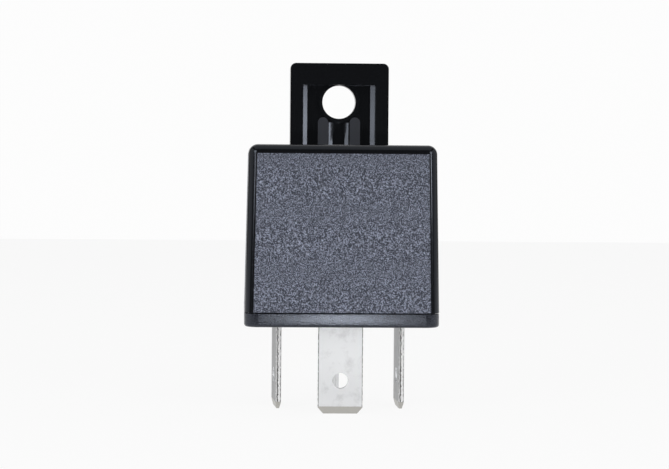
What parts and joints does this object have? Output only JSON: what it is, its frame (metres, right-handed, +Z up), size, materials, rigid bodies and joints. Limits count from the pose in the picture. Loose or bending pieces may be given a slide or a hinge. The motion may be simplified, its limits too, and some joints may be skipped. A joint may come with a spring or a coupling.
{
  "type": "automotive relay",
  "caption": "Black cube relay with four blade terminals and a moulded fixing bracket; the armature swings in and closes the contact.",
  "frame": {"origin": "middle of the level that the blade tips stand on", "axes": "+Z up along the blades to the bracket; -Y is the front, where the open side of the bracket and the broad face of blade 87 look; +X to the right"},
  "size_m": [0.0272, 0.0272, 0.0494],
  "materials": {
    "cover_plastic": "fine spark-eroded grain on the faces, smooth borders",
    "base_plastic": "smooth semi-gloss",
    "resin": "cast, slightly wavy",
    "tinned_brass": "matt tin plating with faint rolling lines",
    "plated_iron": "zinc plated",
    "pole_iron": "turned, plated",
    "bobbin_plastic": "natural nylon",
    "enamelled_copper": "enamelled wire",
    "spring_bronze": "rolled, satin",
    "rivet_metal": "headed",
    "contact_silver": "satin",
    "stop_brass": "stamped",
    "resistor_paint": "lacquered",
    "tinned_wire": "tinned"
  },
  "bodies": {
    "housing": {"cover": "cover_plastic", "base": "base_plastic", "sealing_resin": "resin", "blade_30": "tinned_brass", "blade_87": "tinned_brass", "blade_85": "tinned_brass", "blade_86": "tinned_brass", "yoke": "plated_iron", "core": "pole_iron", "bobbin": "bobbin_plastic", "coil_winding": "enamelled_copper", "yoke_rivets": "rivet_metal", "fixed_contact": "contact_silver", "rest_stop": "stop_brass", "coil_lead_85": "enamelled_copper", "coil_lead_86": "enamelled_copper", "resistor": "resistor_paint", "resistor_leads": "tinned_wire"},
    "armature": {"armature": "plated_iron", "contact_spring": "spring_bronze", "armature_rivets": "rivet_metal", "moving_contact": "contact_silver"}
  },
  "joints": [
    {"name": "armature_swing", "type": "hinge", "parent": "housing", "child": "armature", "pos_m": [0, 0.00893, 0.03218], "axis": [1, 0, 0], "range_deg": [0, 3.2], "stiffness_Nm_per_rad": 0.15, "springref_deg": -5.73, "deforming": ["contact_spring"]}
  ]
}
